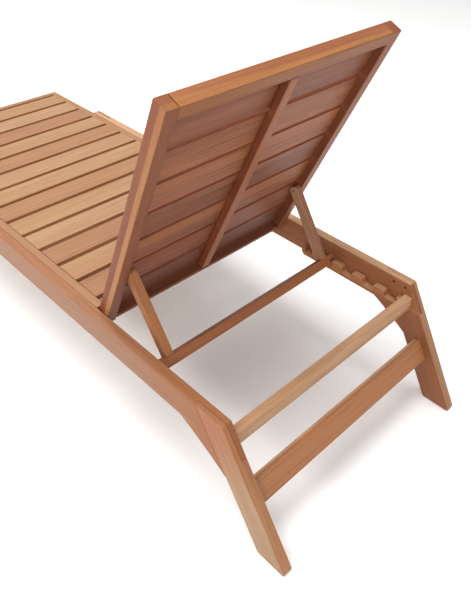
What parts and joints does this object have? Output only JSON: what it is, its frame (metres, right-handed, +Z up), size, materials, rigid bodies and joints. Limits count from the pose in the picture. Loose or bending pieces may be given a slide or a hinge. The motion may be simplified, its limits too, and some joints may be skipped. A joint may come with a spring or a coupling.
{
  "type": "reclining sun lounger",
  "caption": "Slatted hardwood sun lounger with splayed legs, and a hinged backrest held by a folding prop in notched racks.",
  "frame": {"origin": "on the floor under the middle of the whole lounger, backrest raised as at rest", "axes": "+Y towards the head (backrest) end, +X towards the right-hand side of a person lying on it, +Z up"},
  "size_m": [0.7, 1.9102, 0.9393],
  "materials": {
    "rail_wood": "oiled, finely sanded",
    "leg_wood": "oiled, finely sanded",
    "seat_slat_wood": "oiled, finely sanded",
    "back_slat_wood": "oiled, finely sanded",
    "frame_wood": "oiled, finely sanded",
    "prop_wood": "oiled, finely sanded",
    "rack_wood": "oiled, finely sanded",
    "stretcher_wood": "oiled, finely sanded",
    "steel": "stainless, dull"
  },
  "bodies": {
    "base": {"front_stretcher_lower": "stretcher_wood", "front_stretcher_upper": "stretcher_wood", "hinge_pin_left": "steel", "hinge_pin_right": "steel", "lap_screw_front_left_1": "steel", "lap_screw_front_left_2": "steel", "lap_screw_front_right_1": "steel", "lap_screw_front_right_2": "steel", "lap_screw_rear_left_1": "steel", "lap_screw_rear_left_2": "steel", "lap_screw_rear_right_1": "steel", "lap_screw_rear_right_2": "steel", "leg_front_left": "leg_wood", "leg_front_right": "leg_wood", "leg_rear_left": "leg_wood", "leg_rear_right": "leg_wood", "notched_rack_left": "rack_wood", "notched_rack_right": "rack_wood", "rear_stretcher_lower": "stretcher_wood", "rear_stretcher_upper": "stretcher_wood", "seat_batten": "frame_wood", "seat_bearer_1": "stretcher_wood", "seat_bearer_2": "stretcher_wood", "seat_rail_front": "frame_wood", "seat_rail_rear": "frame_wood", "seat_slat_01": "seat_slat_wood", "seat_slat_02": "seat_slat_wood", "seat_slat_03": "seat_slat_wood", "seat_slat_04": "seat_slat_wood", "seat_slat_05": "seat_slat_wood", "seat_slat_06": "seat_slat_wood", "seat_slat_07": "seat_slat_wood", "seat_slat_08": "seat_slat_wood", "seat_slat_09": "seat_slat_wood", "seat_slat_10": "seat_slat_wood", "seat_slat_11": "seat_slat_wood", "seat_slat_12": "seat_slat_wood", "seat_slat_13": "seat_slat_wood", "seat_stile_left": "frame_wood", "seat_stile_right": "frame_wood", "side_rail_left": "rail_wood", "side_rail_right": "rail_wood"},
    "backrest": {"back_batten": "frame_wood", "back_rail_bottom": "frame_wood", "back_rail_top": "frame_wood", "back_slat_1": "back_slat_wood", "back_slat_2": "back_slat_wood", "back_slat_3": "back_slat_wood", "back_slat_4": "back_slat_wood", "back_slat_5": "back_slat_wood", "back_slat_6": "back_slat_wood", "back_slat_7": "back_slat_wood", "back_stile_left": "frame_wood", "back_stile_right": "frame_wood", "prop_pin_left": "steel", "prop_pin_right": "steel"},
    "prop": {"prop_arm_left": "prop_wood", "prop_arm_right": "prop_wood", "prop_bar": "prop_wood"}
  },
  "joints": [
    {"name": "backrest_hinge", "type": "hinge", "parent": "base", "child": "backrest", "pos_m": [0, 0.3009, 0.3145], "axis": [1, 0, 0], "range_deg": [-66.24, 14.5]},
    {"name": "prop_pivot", "type": "hinge", "parent": "backrest", "child": "prop", "pos_m": [0, 0.38113, 0.4682], "axis": [1, 0, 0], "range_deg": [-25.75, 117.55]}
  ],
  "couplings": [
    {"joint": "prop_pivot", "follows": "backrest_hinge", "ratio": -1.774}
  ]
}
